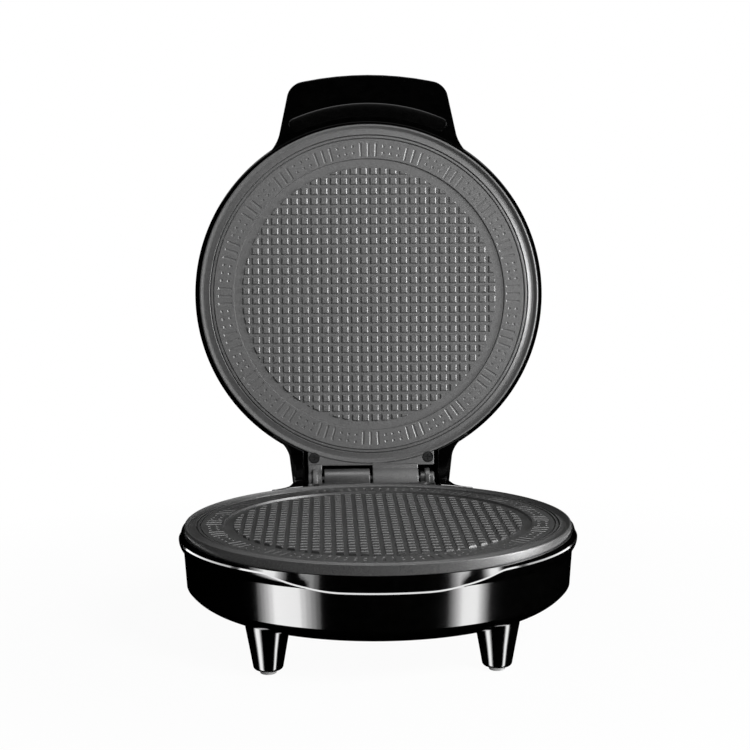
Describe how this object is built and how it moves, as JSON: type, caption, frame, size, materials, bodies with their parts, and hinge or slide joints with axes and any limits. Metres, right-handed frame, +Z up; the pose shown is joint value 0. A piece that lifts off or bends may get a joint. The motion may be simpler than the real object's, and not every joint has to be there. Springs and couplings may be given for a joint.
{
  "type": "waffle maker",
  "caption": "Round hinged waffle iron, stored open: cast plates with a fine grid of raised pads in gloss black base and lid, wide lid handle, tapered feet.",
  "frame": {"origin": "on the table under the centre of the lower plate", "axes": "+Z up, -Y towards the front and the finger scoop, +X along the hinge pin to the right seen from the front"},
  "size_m": [0.2038, 0.2528, 0.2977],
  "materials": {
    "housing_black": "high-gloss moulded black",
    "cover_black": "gloss black, a shade softer than the lid",
    "plate_coat": "cast, with a dark grey non-stick coat",
    "element_steel": "heat-dulled tube",
    "reflector_sheet": "bright sheet",
    "control_plastic": "dark moulding compound",
    "fuse_metal": "drawn case",
    "terminal_plastic": "off-white moulding",
    "gland_rubber": "matt black",
    "pad_rubber": "matt light grey",
    "screw_steel": "zinc plated",
    "screw_black": "black oxide",
    "pin_steel": "ground",
    "lens_red": "translucent red",
    "lens_green": "translucent green",
    "board_green": "circuit board"
  },
  "bodies": {
    "base": {"base_housing": "housing_black", "lower_plate": "plate_coat", "lower_heating_element": "element_steel", "lower_reflector": "reflector_sheet", "thermostat": "control_plastic", "thermal_fuse": "fuse_metal", "terminal_block": "terminal_plastic", "cord_gland": "gland_rubber", "foot_front_left": "housing_black", "foot_front_right": "housing_black", "foot_rear_left": "housing_black", "foot_rear_right": "housing_black", "foot_pads": "pad_rubber", "foot_screws": "screw_steel", "base_hinge_screws": "screw_black", "hinge_pin": "pin_steel"},
    "lid": {"lid_housing": "housing_black", "upper_plate": "plate_coat", "upper_heating_element": "element_steel", "upper_reflector": "reflector_sheet", "handle_cover": "cover_black", "power_lamp_lens": "lens_red", "ready_lamp_lens": "lens_green", "lamp_board": "board_green", "lid_hinge_screws": "screw_black"}
  },
  "joints": [
    {"name": "lid_hinge", "type": "hinge", "parent": "base", "child": "lid", "pos_m": [0, 0.1082, 0.0624], "axis": [1, 0, 0], "range_deg": [0, 93.1]}
  ]
}
